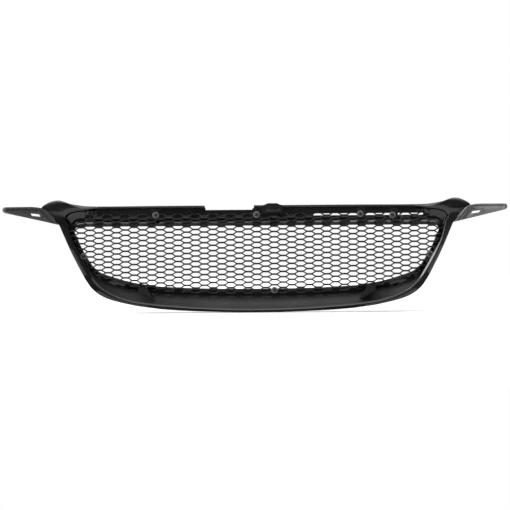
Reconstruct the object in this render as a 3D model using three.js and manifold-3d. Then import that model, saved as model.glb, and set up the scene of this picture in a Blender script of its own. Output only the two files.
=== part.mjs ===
// Front grille of a compact saloon car.
//
// A moulded surround frames a wide opening that narrows downwards. A sheet of flattened mesh is screwed to
// its back. A rail under the top wall carries the upper edge of the mesh, a swept wing at each upper corner
// fastens the grille to the car, and two tabs on the lower band locate it. Nothing on it moves.
//
// Millimetres. +X is across the car, -Y is the front, +Z is up. The origin is the middle of the whole box.

import * as THREE from 'three';
import { mergeVertices } from 'three/addons/utils/BufferGeometryUtils.js';
import { ParametricGeometry } from 'three/addons/geometries/ParametricGeometry.js';
import Module from 'manifold-3d';

const wasm = await Module();
wasm.setup();

// ---- driving dimensions ------------------------------------------------------------------------------

const FIT = 0.35; // gap kept between neighbouring pieces
const LONG_FIT = 0.6; // the same along a curved seat, where facets don't quite match

// plan shape: the surround falls back towards its sides, in flat facets that meet at these distances
const FRONT_Y = -59;
const SWEEP = 28;
const SWEEP_AT_X = 350;
const SWEEP_POWER = 2.4;
const FACET_X = [80, 150, 210, 260, 305, SWEEP_AT_X];

// outer outline of the surround, right half
const TOP_Z = 84;
const BOTTOM_Z = -94;
const SHOULDER_X = 275; // where the top edge starts to rise into the corner
const CREST = [328, 94.5];
const CORNER = [355, 82];
const SIDE_TOP = [326, 53];
const SIDE_BOTTOM = [283.5, -38];

// opening, right half
const OPENING_TOP_Z = 50;
const OPENING_BOTTOM_Z = -55;
const OPENING_CORNER = [302, 44];
const OPENING_SIDE = [283.5, 2];
const OPENING_ELBOW = [262, -25];

// wall section of the surround
const WALL = 3;
const RIM_LAND = { top: 3, side: 5.6, bottom: 3.6 }; // width of the flat rim that faces the rear
const CORNER_RECESS = 31; // at the upper corners the rim starts this far from the opening, and so runs wide
const RIM_SLANT = { top: 0.5, side: 2, bottom: 3.6 }; // how far its inner wall leans in
const SEAT_DEPTH = 17; // from the crown of the surround back to the plane that carries the mesh
const RIM_DEPTH = { top: 22, side: 30, bottom: 34 };
const NOSE_RISE = { top: 2, side: 3, bottom: 9 }; // how far the outer half of the section has fallen back
const KNEE_DEPTH = { top: 8, side: 10, bottom: 20 }; // where it turns into the rearward wall

// mesh sheet
const MESH_THICKNESS = 1.6;
const MESH_PITCH_X = 29.1; // long way of the mesh, between cells of one row
const MESH_PITCH_Z = 8.85; // short way
const MESH_BOND = 8; // length of the strand that neighbours share along X
const MESH_STRAND = 1.9;
const MESH_ROW_Z = 44.3; // middle of the top cell on the centre line
const MESH_OVERLAP = { side: 8.2, bottom: 8, top: 23 }; // how far the sheet runs past the opening

// screws and washers of the mesh: X and Z of each
const SCREWS = [
  ['top_1', -228, 66], ['top_2', -174, 68.5], ['top_3', 0, 68.5], ['top_4', 169, 68.5],
  ['side_left', 290, 1.5], ['side_right', -290, 1.5], ['bottom', -29, -57.3],
];
const WASHER = { outer: 5.4, inner: 2.4, thickness: 1.2 };
const SCREW = { shank: 1.9, head: 4, headHeight: 2.6, recess: 1.9, recessDepth: 1.3, length: 15 };
const SCREW_HOLE = SCREW.shank + LONG_FIT;
const BOSS_RADIUS = 4.4;

// top rail, which lies inside the surround under its top wall and carries the upper edge of the mesh
const RAIL = { front: 11, wall: 2, topZ: 79.9, lowZ: 65.5, halfLength: 265 };
const RAIL_TAB = { halfWidth: 7, lowZ: 60.5 };
const NOTCH = { from: 4, to: 88, depth: 7.6, slant: 3 };
const CLIP = {
  x: -26.5, plate: 34, lowZ: 71, base: 27, top: 16.5, rise: 3, sheet: 1.6, hook: 9, pad: [15, 6.5, 0.8],
};

// ventilation slit in the top web
const SLIT = { from: -277, to: -93, low: 64.2, high: 70 };

// wings
const WING = {
  tip: 415, root: 336, angle: 36, sheet: 3, rimWidth: 2.6, rimProud: 3.2,
  topZ: 84.4, tipLowZ: 74.3, noseZ: 79.5, rootTopZ: 82, rootLowZ: 56, step: 371, shoulder: 356,
};
const WING_SLOT = { x: 364, z: 70.6, length: 20, height: 6.2, slant: 2.5 };
const FOOT = { reach: 9, topZ: 65, sheet: 3, tilt: 10.5 };

// tabs on the lower band
const TAB = { innerX: 170, outerX: 197, shoulderX: 184, topZ: -49, tipZ: -72, rear: 35, overMesh: 21.5 };

// ---- materials ---------------------------------------------------------------------------------------

const glossBlack = new THREE.MeshStandardMaterial({ color: 0x0b0b0c, roughness: 0.18, metalness: 0 });
const satinBlack = new THREE.MeshStandardMaterial({ color: 0x161617, roughness: 0.4, metalness: 0 });
const greyPlastic = new THREE.MeshStandardMaterial({ color: 0x2a2a2c, roughness: 0.5, metalness: 0 });
const meshBlack = new THREE.MeshStandardMaterial({ color: 0x101011, roughness: 0.35, metalness: 0.6 });
const darkZinc = new THREE.MeshStandardMaterial({ color: 0x4b4c4f, roughness: 0.35, metalness: 0.9 });

// ---- helpers -----------------------------------------------------------------------------------------

const sweepLaw = (x) => SWEEP * ((x / SWEEP_AT_X) ** SWEEP_POWER - (FACET_X[0] / SWEEP_AT_X) ** SWEEP_POWER);

// the facet over a place across the car: where it starts, how far back it starts and its slope in plan
function facetAt(x) {
  const across = Math.abs(x);
  if (across <= FACET_X[0]) return { start: 0, back: 0, slope: 0 };
  const last = FACET_X.length - 2;
  const i = FACET_X.findIndex((x0, k) => across <= FACET_X[k + 1] || k === last);
  const [start, end] = [FACET_X[i], FACET_X[i + 1]];
  return { start, back: sweepLaw(start), slope: (sweepLaw(end) - sweepLaw(start)) / (end - start) };
}

function sweepAt(x) {
  const { start, back, slope } = facetAt(x);
  return back + slope * (Math.abs(x) - start);
}

// Y of a point that lies `depth` behind the crown of the surround, at a place across the car
const yAt = (x, depth) => FRONT_Y + sweepAt(x) + depth;

// turns a piece made along Y square to the facet at x, and puts its origin on it
function onFacet(x, depth, z) {
  const turn = new THREE.Matrix4().makeRotationZ(Math.atan(facetAt(x).slope) * Math.sign(x));
  return turn.setPosition(x, yAt(x, depth), z);
}

function solid(geometry) {
  const bare = geometry.clone();
  bare.deleteAttribute('normal');
  bare.deleteAttribute('uv');
  const merged = mergeVertices(bare, 1e-4);
  const mesh = new wasm.Mesh({
    numProp: 3,
    vertProperties: new Float32Array(merged.attributes.position.array),
    triVerts: new Uint32Array(merged.index.array),
  });
  const body = new wasm.Manifold(mesh);
  return body.volume() > 0 ? body : solid(flipped(merged));
}

function flipped(geometry) {
  const index = geometry.index.array;
  const turned = [];
  for (let i = 0; i < index.length; i += 3) turned.push(index[i], index[i + 2], index[i + 1]);
  const copy = geometry.clone();
  copy.setIndex(turned);
  return copy;
}

function geometryOf(body) {
  const { numProp, vertProperties, triVerts } = body.getMesh();
  const positions = [];
  for (let i = 0; i < vertProperties.length; i += numProp) {
    positions.push(vertProperties[i], vertProperties[i + 1], vertProperties[i + 2]);
  }
  const geometry = new THREE.BufferGeometry();
  geometry.setAttribute('position', new THREE.Float32BufferAttribute(positions, 3));
  geometry.setIndex([...triVerts]);
  geometry.computeVertexNormals();
  return geometry;
}

const moved = (body, matrix) => solid(geometryOf(body).applyMatrix4(matrix));

const mirroredX = (body) => moved(body, new THREE.Matrix4().makeScale(-1, 1, 1));

function largest(body) {
  return body.decompose().reduce((best, each) => (each.volume() > best.volume() ? each : best));
}

function box(x0, x1, y0, y1, z0, z1) {
  const geometry = new THREE.BoxGeometry(x1 - x0, y1 - y0, z1 - z0);
  return solid(geometry.translate((x0 + x1) / 2, (y0 + y1) / 2, (z0 + z1) / 2));
}

// a polygon given in X and Z, extruded from y0 to y1
function extrudeY(points, y0, y1) {
  const shape = new THREE.Shape(points.map(([x, z]) => new THREE.Vector2(x, -z)));
  const geometry = new THREE.ExtrudeGeometry(shape, { depth: y1 - y0, bevelEnabled: false });
  return solid(geometry.rotateX(-Math.PI / 2).translate(0, y0, 0));
}

// a rod square to the facet at x, from y0 to y1 behind its mesh seat
function rodAt(x, z, radius, y0, y1, sides) {
  const geometry = new THREE.CylinderGeometry(radius, radius, y1 - y0, sides);
  return solid(geometry.translate(0, (y0 + y1) / 2, 0).applyMatrix4(onFacet(x, SEAT_DEPTH, z)));
}

// a lathed piece whose axis lies along Y, from [radius, y] points
function latheY(profile, sides) {
  return new THREE.LatheGeometry(profile.map(([r, y]) => new THREE.Vector2(r, y)), sides);
}

function spline(points, count) {
  const knots = points.map(([x, z]) => new THREE.Vector3(x, 0, z));
  const curve = new THREE.CatmullRomCurve3(knots, false, 'centripetal');
  return curve.getSpacedPoints(count).map((p) => [p.x, p.z]);
}

function mirrored(half) {
  const left = half.slice(1, -1).reverse().map(([x, z]) => [-x, z]);
  return [...half, ...left];
}

// ---- outlines ----------------------------------------------------------------------------------------

// The two outlines are cut into the same stretches, so that a station on one faces its partner on the other.
const STATIONS = { top: 12, corner: 9, side: 5, elbow: 8, bottom: 9 };

function outerHalf() {
  const top = spline([[0, TOP_Z], [150, TOP_Z], [SHOULDER_X, TOP_Z], [288, TOP_Z + 0.8]], STATIONS.top);
  const crest = [[288, TOP_Z + 0.8], [308, 88.4], CREST, [344, 90.5], CORNER, [347, 73], SIDE_TOP];
  const corner = spline(crest, STATIONS.corner);
  const side = spline([SIDE_TOP, [306.5, 7.5], SIDE_BOTTOM], STATIONS.side);
  const elbow = spline([SIDE_BOTTOM, [272, -53.5], [252, -67.5], [205, -80.8], [160, -87.6]], STATIONS.elbow);
  const bottom = spline([[160, -87.6], [122, -90.4], [40, -93.5], [0, BOTTOM_Z]], STATIONS.bottom);
  return [...top.slice(0, -1), ...corner.slice(0, -1), ...side.slice(0, -1), ...elbow.slice(0, -1), ...bottom];
}

function openingHalf() {
  const top = spline([[0, OPENING_TOP_Z], [150, OPENING_TOP_Z], [288, OPENING_TOP_Z]], STATIONS.top);
  const cornerPoints = [[288, OPENING_TOP_Z], [298, 49], OPENING_CORNER, [300, 36], [297, 30]];
  const corner = spline(cornerPoints, STATIONS.corner);
  const side = spline([[297, 30], [292, 18], OPENING_SIDE, [273, -15]], STATIONS.side);
  const elbow = spline([[273, -15], OPENING_ELBOW, [248, -31], [207, -43], [165, -50]], STATIONS.elbow);
  const bottom = spline([[165, -50], [120, -52.8], [60, -54.6], [0, OPENING_BOTTOM_Z]], STATIONS.bottom);
  return [...top.slice(0, -1), ...corner.slice(0, -1), ...side.slice(0, -1), ...elbow.slice(0, -1), ...bottom];
}

const OUTER = mirrored(outerHalf());
const OPENING = mirrored(openingHalf());

const smooth = (value, from, to) => THREE.MathUtils.smoothstep(value, from, to);

// mixes the values given for the top, the sides and the bottom, at a place on an outline
function blendBySide(values, x, z) {
  const low = smooth(-z, 30, 60);
  const high = smooth(z, 45, 70) * (1 - smooth(Math.abs(x), 270, 320));
  return values.side + (values.bottom - values.side) * low + (values.top - values.side) * high;
}

// ---- the surround ------------------------------------------------------------------------------------

// Section of the wall as [distance from the opening, depth behind the crown], round the closed profile:
// along the front, over the rim, and back along the inside.
function wallSection(width, { rim, rise, knee, land, slant }) {
  const crown = Math.min(0.45 * width, 11);
  const slope = crown + 0.45 * (width - crown);
  const front = [
    [0, SEAT_DEPTH], [0.6, 8], [0.45 * crown, 2], [crown, 0], [slope, rise], [width - 2.5, knee],
    [width, knee + 6],
  ];
  const wallFoot = Math.max(width - land - slant, WALL + 2);
  const inside = [0, 0.35, 0.7, 1].map((share) => {
    const distance = THREE.MathUtils.lerp(wallFoot, WALL + 1.4, share);
    return [distance, depthOn(front, distance) + WALL];
  });
  return [...front, [width, rim], [width - land, rim], ...inside, [WALL, 10], [WALL, SEAT_DEPTH]];
}

// depth of a section's front at a distance from the opening
function depthOn(front, distance) {
  const i = front.findIndex(([reach], k) => k > 0 && reach >= distance);
  const [[a, depthA], [b, depthB]] = [front[i - 1], front[i]];
  return THREE.MathUtils.mapLinear(distance, a, b, depthA, depthB);
}

// width of the rim at a station of the outline
function landAt(station, x, z, width) {
  const start = STATIONS.top;
  const share = (Math.min(station, OUTER.length - station) - start) / STATIONS.corner;
  const plain = blendBySide(RIM_LAND, x, z);
  if (share < 0 || share > 1) return plain;
  const recess = THREE.MathUtils.lerp(CORNER_RECESS, width - plain, smooth(share, 0.6, 1));
  return THREE.MathUtils.lerp(plain, width - recess, smooth(share, 0, 0.2));
}

function surroundGeometry() {
  const rings = OUTER.map(([ox, oz], i) => {
    const [ix, iz] = OPENING[i];
    const width = Math.hypot(ox - ix, oz - iz);
    const section = wallSection(width, {
      rim: blendBySide(RIM_DEPTH, ox, oz),
      rise: blendBySide(NOSE_RISE, ox, oz),
      knee: blendBySide(KNEE_DEPTH, ox, oz),
      land: landAt(i, ox, oz, width),
      slant: blendBySide(RIM_SLANT, ox, oz),
    });
    return section.map(([distance, depth]) => {
      const x = ix + ((ox - ix) * distance) / width;
      const z = iz + ((oz - iz) * distance) / width;
      return new THREE.Vector3(x, yAt(x, depth), z);
    });
  });
  const stations = rings.length;
  const corners = rings[0].length;
  const place = (u, v, target) => {
    const ring = rings[Math.round(u * stations) % stations];
    target.copy(ring[Math.round(v * corners) % corners]);
  };
  return new ParametricGeometry(place, stations, corners);
}

function notchTool() {
  const floor = TOP_Z - NOTCH.depth;
  const above = TOP_Z + 5;
  const { from, to, slant } = NOTCH;
  const outline = [[from, floor], [to - slant, floor], [to, above], [from, above]];
  return extrudeY(outline, FRONT_Y - 5, 60);
}

function slitTool() {
  const middle = (SLIT.low + SLIT.high) / 2;
  const bevel = (SLIT.high - SLIT.low) / 2;
  const outline = [
    [SLIT.from, middle], [SLIT.from + bevel, SLIT.low], [SLIT.to - bevel, SLIT.low],
    [SLIT.to, middle], [SLIT.to - bevel, SLIT.high], [SLIT.from + bevel, SLIT.high],
  ];
  return extrudeY(outline, FRONT_Y - 5, FRONT_Y + 40);
}

function bezel() {
  let body = solid(surroundGeometry()).subtract(notchTool()).subtract(slitTool());
  for (const [, x, z] of SCREWS) {
    const seat = z > OPENING_TOP_Z ? RAIL.front - FIT - SEAT_DEPTH : 0;
    body = body.add(rodAt(x, z, BOSS_RADIUS, 1.5 - SEAT_DEPTH, seat, 12));
  }
  for (const [, x, z] of SCREWS) {
    body = body.subtract(rodAt(x, z, SCREW_HOLE, 1 - SCREW.length, 1, 10));
    if (z < OPENING_TOP_Z) body = body.subtract(rodAt(x, z, WASHER.outer + LONG_FIT, 0, 20, 16));
  }
  return largest(body);
}

// ---- the mesh sheet ----------------------------------------------------------------------------------

// The sheet's edge follows every second station of the opening.
function sheetOutline() {
  const stations = OPENING.map((point, i) => i).filter((i) => i % 2 === 0);
  return stations.map((i) => {
    const [x, z] = OPENING[i];
    const [nx, nz] = outwardNormal(i);
    const reach = nz > 0.9 ? MESH_OVERLAP.top : blendBySide({ ...MESH_OVERLAP, top: MESH_OVERLAP.side }, x, z);
    return [x + nx * reach, z + nz * reach];
  });
}

function outwardNormal(i) {
  const [ax, az] = OPENING[(i + OPENING.length - 1) % OPENING.length];
  const [bx, bz] = OPENING[(i + 1) % OPENING.length];
  const length = Math.hypot(bx - ax, bz - az);
  return [-(bz - az) / length, (bx - ax) / length];
}

// one six-sided hole, longer across the car than it is tall
function meshHole(x, z) {
  const step = MESH_PITCH_X / 2 - MESH_BOND;
  const halfTall = (MESH_PITCH_Z - MESH_STRAND) / 2;
  const slope = Math.atan2(MESH_PITCH_Z / 2, step);
  const reach = MESH_BOND / 2 + step - MESH_STRAND / 2 / Math.sin(slope);
  const flat = reach - halfTall / Math.tan(slope);
  return [[reach, 0], [flat, halfTall], [-flat, halfTall], [-reach, 0], [-flat, -halfTall], [flat, -halfTall]]
    .map(([dx, dz]) => [x + dx, z + dz]);
}

function inside([x, z], polygon) {
  let odd = false;
  polygon.forEach(([ax, az], i) => {
    const [bx, bz] = polygon[(i + 1) % polygon.length];
    if (az > z !== bz > z && x < ((bx - ax) * (z - az)) / (bz - az) + ax) odd = !odd;
  });
  return odd;
}

const slitRoom = [[SLIT.from, SLIT.low], [SLIT.to, SLIT.low], [SLIT.to, SLIT.high], [SLIT.from, SLIT.high]];

// Open cells are those over the opening, and those over the slit that no screw needs.
function isOpenCell(x, z) {
  const reach = MESH_BOND / 2;
  const probes = [[x, z + 2], [x, z - 2.5], [x - reach, z], [x + reach, z]];
  if (probes.filter((probe) => inside(probe, OPENING)).length > 3) return true;
  const nearScrew = SCREWS.some(([, sx, sz]) => Math.abs(sx - x) < 13 && Math.abs(sz - z) < 12);
  return inside([x, z], slitRoom) && !nearScrew;
}

function meshHoles() {
  const holes = [];
  const columns = Math.ceil(OPENING_CORNER[0] / (MESH_PITCH_X / 2));
  const rowsAbove = 3;
  for (let column = -columns; column <= columns; column += 1) {
    const x = (column * MESH_PITCH_X) / 2;
    const top = MESH_ROW_Z + MESH_PITCH_Z * (column % 2 === 0 ? rowsAbove : rowsAbove - 0.5);
    for (let z = top; z > OPENING_BOTTOM_Z; z -= MESH_PITCH_Z) {
      if (isOpenCell(x, z)) holes.push(meshHole(x, z));
    }
  }
  return holes;
}

// The flat sheet is cut where the facets meet, and each strip is leaned back onto its own facet.
function faceted(sheet) {
  const ends = [...FACET_X.map((x) => -x).reverse(), ...FACET_X];
  const strips = ends.slice(1).map((end, i) => {
    const start = ends[i];
    const middle = (start + end) / 2;
    const { slope } = facetAt(middle);
    const lean = new THREE.Matrix4().makeShear(Math.sign(middle) * slope, 0, 0, 0, 0, 0);
    lean.setPosition(0, sweepAt(middle) - Math.abs(middle) * slope, 0);
    return moved(sheet.intersect(box(start, end, -99, 99, -99, 99)), lean);
  });
  return strips.reduce((whole, strip) => whole.add(strip));
}

function meshInsert() {
  const toPath = (points) => points.map(([x, z]) => new THREE.Vector2(x, -z));
  const shape = new THREE.Shape(toPath(sheetOutline()));
  for (const hole of meshHoles()) shape.holes.push(new THREE.Path(toPath(hole)));
  const geometry = new THREE.ExtrudeGeometry(shape, { depth: MESH_THICKNESS, bevelEnabled: false });
  geometry.rotateX(-Math.PI / 2).translate(0, FRONT_Y + SEAT_DEPTH + LONG_FIT, 0);
  let body = faceted(solid(geometry));
  for (const [, x, z] of SCREWS) body = body.subtract(rodAt(x, z, SCREW_HOLE, -4, 8, 8));
  return largest(body);
}

// ---- fasteners ---------------------------------------------------------------------------------------

const WASHER_SEAT = LONG_FIT + MESH_THICKNESS + FIT; // above the mesh seat

function meshWasher() {
  const { inner, outer, thickness } = WASHER;
  return latheY([[inner, 0], [outer, 0], [outer, thickness], [inner, thickness], [inner, 0]], 12);
}

function meshScrew() {
  const { shank, head, headHeight, recess, recessDepth, length } = SCREW;
  const under = WASHER.thickness + FIT;
  const crown = under + headHeight;
  return latheY([
    [0, crown - recessDepth], [recess, crown - recessDepth], [recess, crown],
    [head * 0.7, crown], [head, under + headHeight * 0.45], [head, under],
    [shank, under], [shank, under - length + 2], [0, under - length],
  ].reverse(), 10);
}

// ---- top rail and clip -------------------------------------------------------------------------------

// a bar that follows the sweep of the surround, between two depths and two heights
function sweptBar(x0, x1, depth0, depth1, z0, z1) {
  const bends = FACET_X.flatMap((x) => [-x, x]).filter((x) => x > x0 && x < x1);
  const xs = [x0, ...bends.sort((a, b) => a - b), x1];
  const front = xs.map((x) => new THREE.Vector2(x, yAt(x, depth0)));
  const rear = xs.map((x) => new THREE.Vector2(x, yAt(x, depth1))).reverse();
  const shape = new THREE.Shape([...front, ...rear]);
  const geometry = new THREE.ExtrudeGeometry(shape, { depth: z1 - z0, bevelEnabled: false });
  return solid(geometry.translate(0, 0, z0));
}

// an angle bar: a face that carries the mesh, and a ledge under the top wall of the surround
function topRail() {
  const { front, wall, topZ, lowZ, halfLength } = RAIL;
  const rear = SEAT_DEPTH;
  const length = halfLength + 1;
  let body = sweptBar(-halfLength, halfLength, front, rear, lowZ, topZ);
  body = body.subtract(sweptBar(-length, length, front - 1, rear - 2 * wall, lowZ - 1, topZ - wall));
  body = body.subtract(sweptBar(SLIT.from, SLIT.to, front - 1, rear + 1, lowZ - 1, SLIT.high + 0.6));
  for (const [, x, z] of SCREWS) {
    if (z < OPENING_TOP_Z) continue;
    const tab = sweptBar(x - RAIL_TAB.halfWidth, x + RAIL_TAB.halfWidth, front, rear, RAIL_TAB.lowZ, topZ - 1);
    body = body.add(tab).subtract(rodAt(x, z, SCREW_HOLE, -SEAT_DEPTH, 1, 10));
  }
  return largest(body.subtract(notchTool()));
}

// a spring clip that hooks over the top wall of the surround
function topClip() {
  const { x, plate, lowZ, base, top, rise, sheet, hook, pad } = CLIP;
  const rearOfWall = FRONT_Y + RIM_DEPTH.top + LONG_FIT;
  const crown = TOP_Z + rise;
  const outline = [
    [x - plate / 2, lowZ], [x + plate / 2, lowZ], [x + plate / 2, TOP_Z], [x + base / 2, TOP_Z + 0.4],
    [x + top / 2, crown], [x - top / 2, crown], [x - base / 2, TOP_Z + 0.4], [x - plate / 2, TOP_Z],
  ];
  const leg = extrudeY(outline, rearOfWall, rearOfWall + sheet);
  const over = box(x - top / 2, x + top / 2, rearOfWall - hook, rearOfWall + 0.5, TOP_Z + LONG_FIT, crown);
  const [padWidth, padHeight, padProud] = pad;
  const middle = TOP_Z - 3.5;
  const raised = box(x - padWidth / 2, x + padWidth / 2, rearOfWall + 0.5, rearOfWall + sheet + padProud,
    middle - padHeight / 2, middle + padHeight / 2);
  return leg.add(over).add(raised);
}

// ---- wings -------------------------------------------------------------------------------------------

// Built for the +X side. The blade leaves the back of the surround at its foot and sweeps rearward.
function wing() {
  const turn = THREE.MathUtils.degToRad(WING.angle);
  const along = (x) => (x - WING.root) / Math.cos(turn);
  const footY = yAt(WING.root, RIM_DEPTH.side) + 2 * FIT;
  const swept = (points, low, high, angle) => {
    const flat = extrudeY(points.map(([x, z]) => [x - WING.root, z]), low, high);
    return moved(flat, new THREE.Matrix4().makeRotationZ(angle).setPosition(WING.root, footY, 0));
  };
  const alongBlade = ([x, z]) => [WING.root + along(x), z];
  const blade = (points, low, high) => swept(points.map(alongBlade), low, high, turn);
  const { tip, root, topZ, tipLowZ, noseZ, rootTopZ, rootLowZ, step, shoulder, rimWidth } = WING;
  const outline = [
    [root, rootLowZ], [tip - 4, tipLowZ], [tip - 0.5, tipLowZ + 2], [tip, noseZ], [tip - 1.5, topZ - 1],
    [tip - 4, topZ], [step, topZ], [shoulder, rootTopZ], [shoulder - 8, rootTopZ - 4], [root, FOOT.topZ],
  ];
  const rim = [
    [shoulder - 6, rootTopZ - 3], [shoulder, rootTopZ], [step, topZ], [tip - 4, topZ], [tip - 1.5, topZ - 1],
    [tip, noseZ], [tip - 0.5, tipLowZ + 2], [tip - 4, tipLowZ], [tip - 3.5 - rimWidth, tipLowZ + 1.5],
    [tip - rimWidth, noseZ], [tip - 5, topZ - rimWidth], [step, topZ - rimWidth],
    [shoulder, rootTopZ - rimWidth], [shoulder - 5, rootTopZ - rimWidth - 2],
  ];
  const { x, z, length, height, slant } = WING_SLOT;
  const half = (length / 2) * Math.cos(turn);
  const slot = [
    [x - half, z - height / 2], [x + half - slant, z - height / 2], [x + half, z + height / 2],
    [x - half + slant, z + height / 2],
  ];
  const footOutline = [
    [root + 2, rootLowZ - 1], [root + 2, FOOT.topZ + 1], [root - FOOT.reach, rootLowZ],
    [root - FOOT.reach, rootLowZ - 3],
  ];
  const foot = swept(footOutline, 0, FOOT.sheet, THREE.MathUtils.degToRad(FOOT.tilt));
  return blade(outline, 0, WING.sheet)
    .add(blade(rim, WING.sheet - 0.5, WING.sheet + WING.rimProud))
    .add(foot)
    .subtract(blade(slot, -3, WING.sheet + 6));
}

// ---- locating tabs -----------------------------------------------------------------------------------

function locatingTab(surround) {
  const { innerX, outerX, shoulderX, topZ, tipZ, rear, overMesh } = TAB;
  const outline = [
    [outerX, topZ], [shoulderX, topZ - 1], [innerX, tipZ], [innerX + 3.5, tipZ], [outerX, topZ - 8],
  ];
  const x = (innerX + outerX) / 2;
  const wedge = extrudeY(outline, yAt(x, 4), yAt(x, rear));
  const meshRoom = box(innerX - 9, outerX + 9, yAt(x, 0), yAt(x, overMesh), -60, topZ + 9);
  const raised = moved(surround, new THREE.Matrix4().makeTranslation(0, 0.5, 0));
  return largest(wedge.subtract(meshRoom).subtract(surround).subtract(raised));
}

// ---- the assembly ------------------------------------------------------------------------------------

const grille = new THREE.Group();

function addPiece(name, geometry, material) {
  const mesh = new THREE.Mesh(geometry, material);
  mesh.name = name;
  grille.add(mesh);
  return mesh;
}

const surround = bezel();
const leftWing = wing();
const tab = locatingTab(surround);

addPiece('bezel', geometryOf(surround), glossBlack);
addPiece('top_rail', geometryOf(topRail()), glossBlack);
addPiece('top_clip', geometryOf(topClip()), satinBlack);
addPiece('mesh_insert', geometryOf(meshInsert()), meshBlack);
addPiece('wing_left', geometryOf(leftWing), greyPlastic);
addPiece('wing_right', geometryOf(mirroredX(leftWing)), greyPlastic);
addPiece('locating_tab_left', geometryOf(tab), satinBlack);
addPiece('locating_tab_right', geometryOf(mirroredX(tab)), satinBlack);

for (const [place, x, z] of SCREWS) {
  const washer = addPiece(`mesh_washer_${place}`, meshWasher(), darkZinc);
  const screw = addPiece(`mesh_screw_${place}`, meshScrew(), darkZinc);
  for (const piece of [washer, screw]) {
    piece.geometry.translate(0, WASHER_SEAT, 0);
    piece.applyMatrix4(onFacet(x, SEAT_DEPTH, z));
  }
}

export default grille;
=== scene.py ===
# The looks of a car's front grille, built round its CAD frame.
#
# The row frame: +X runs across the car, -Y is the front, +Z is up. Shapes are worked out in millimetres and
# turned into metres where a piece is made. A place on the surround is given by its distance across the car,
# its height, and its depth behind the crown of the surround, which falls back towards both sides.

import math

import bmesh
import bpy
from mathutils import Matrix, Vector


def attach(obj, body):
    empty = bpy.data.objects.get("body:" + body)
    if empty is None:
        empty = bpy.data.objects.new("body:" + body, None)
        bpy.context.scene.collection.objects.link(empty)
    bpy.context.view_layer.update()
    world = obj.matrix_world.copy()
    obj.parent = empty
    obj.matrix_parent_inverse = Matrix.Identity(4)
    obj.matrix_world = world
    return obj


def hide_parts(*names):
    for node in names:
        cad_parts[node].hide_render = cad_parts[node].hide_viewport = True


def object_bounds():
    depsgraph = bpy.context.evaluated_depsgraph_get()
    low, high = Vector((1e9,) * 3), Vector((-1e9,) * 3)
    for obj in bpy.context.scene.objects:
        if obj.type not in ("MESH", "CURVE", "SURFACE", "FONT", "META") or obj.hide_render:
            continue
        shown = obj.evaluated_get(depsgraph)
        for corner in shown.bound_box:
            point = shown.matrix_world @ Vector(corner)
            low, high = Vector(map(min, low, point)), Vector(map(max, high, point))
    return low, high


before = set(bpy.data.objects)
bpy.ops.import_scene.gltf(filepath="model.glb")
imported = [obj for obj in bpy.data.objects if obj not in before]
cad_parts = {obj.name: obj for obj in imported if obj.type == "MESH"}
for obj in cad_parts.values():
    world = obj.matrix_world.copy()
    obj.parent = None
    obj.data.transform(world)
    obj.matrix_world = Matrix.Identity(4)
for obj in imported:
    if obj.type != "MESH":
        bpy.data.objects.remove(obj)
CAD_LOW, CAD_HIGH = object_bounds()

MM = 0.001

# ---- driving dimensions, in millimetres ---------------------------------------------------------------

FRONT_Y = CAD_LOW.y / MM
TOP_Z = 84
BOTTOM_Z = CAD_LOW.z / MM

# plan shape of the surround
SWEEP = 28
SWEEP_AT_X = 350
SWEEP_POWER = 2.4
FLAT_TO_X = 80
SWEEP_BLEND = 0.5

# Right half of each outline, from the middle of the top to the middle of the bottom. All three are cut into
# the same stretches, and a stretch has the same number of steps in each of them.
STRETCH_STEPS = (48, 44, 18, 30, 36)
OPENING_TOP = 50
OPENING_BOTTOM = -55
OPENING_HALF = 302
OUTER = [
    [(0, TOP_Z), (150, TOP_Z), (275, TOP_Z), (288, 84.8)],
    [(288, 84.8), (308, 88.4), (328, 94.3), (344, 90.5), (355, 82), (347, 73), (326, 53)],
    [(326, 53), (306.5, 7.5), (283.5, -38)],
    [(283.5, -38), (272, -53.5), (252, -67.5), (205, -80.8), (160, -87.6)],
    [(160, -87.6), (122, -90.4), (40, -93.5), (0, BOTTOM_Z)],
]
RECESS = [
    [(0, 81), (150, 81), (262, 81), (275, 80.8)],
    [(275, 80.8), (300, 79.5), (314, 75), (319.5, 69), (318, 62), (313.5, 53)],
    [(313.5, 53), (309, 32), (300, 10.5), (288.5, -12.4), (273.5, -37)],
    [(273.5, -37), (264, -48), (252, -57.5), (236, -66), (206, -75.5), (160, -82.2)],
    [(160, -82.2), (100, -86.8), (40, -89.4), (0, -89.8)],
]
OPENING = [
    [(0, OPENING_TOP), (150, OPENING_TOP), (288, OPENING_TOP)],
    [(288, OPENING_TOP), (298, 49), (OPENING_HALF, 44), (300, 36), (297, 30)],
    [(297, 30), (292, 18), (283.5, 2), (273, -15)],
    [(273, -15), (262, -25), (248, -31), (207, -43), (165, -50)],
    [(165, -50), (120, -52.8), (60, -54.6), (0, OPENING_BOTTOM)],
]

# where the values for the bottom, the top and the sides run into each other
BOTTOM_BLEND = (30, 60)  # below the middle
TOP_BLEND = (45, 70)  # above the middle
CORNER_BLEND = (270, 320)  # across, where the top gives way to the sides

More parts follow.
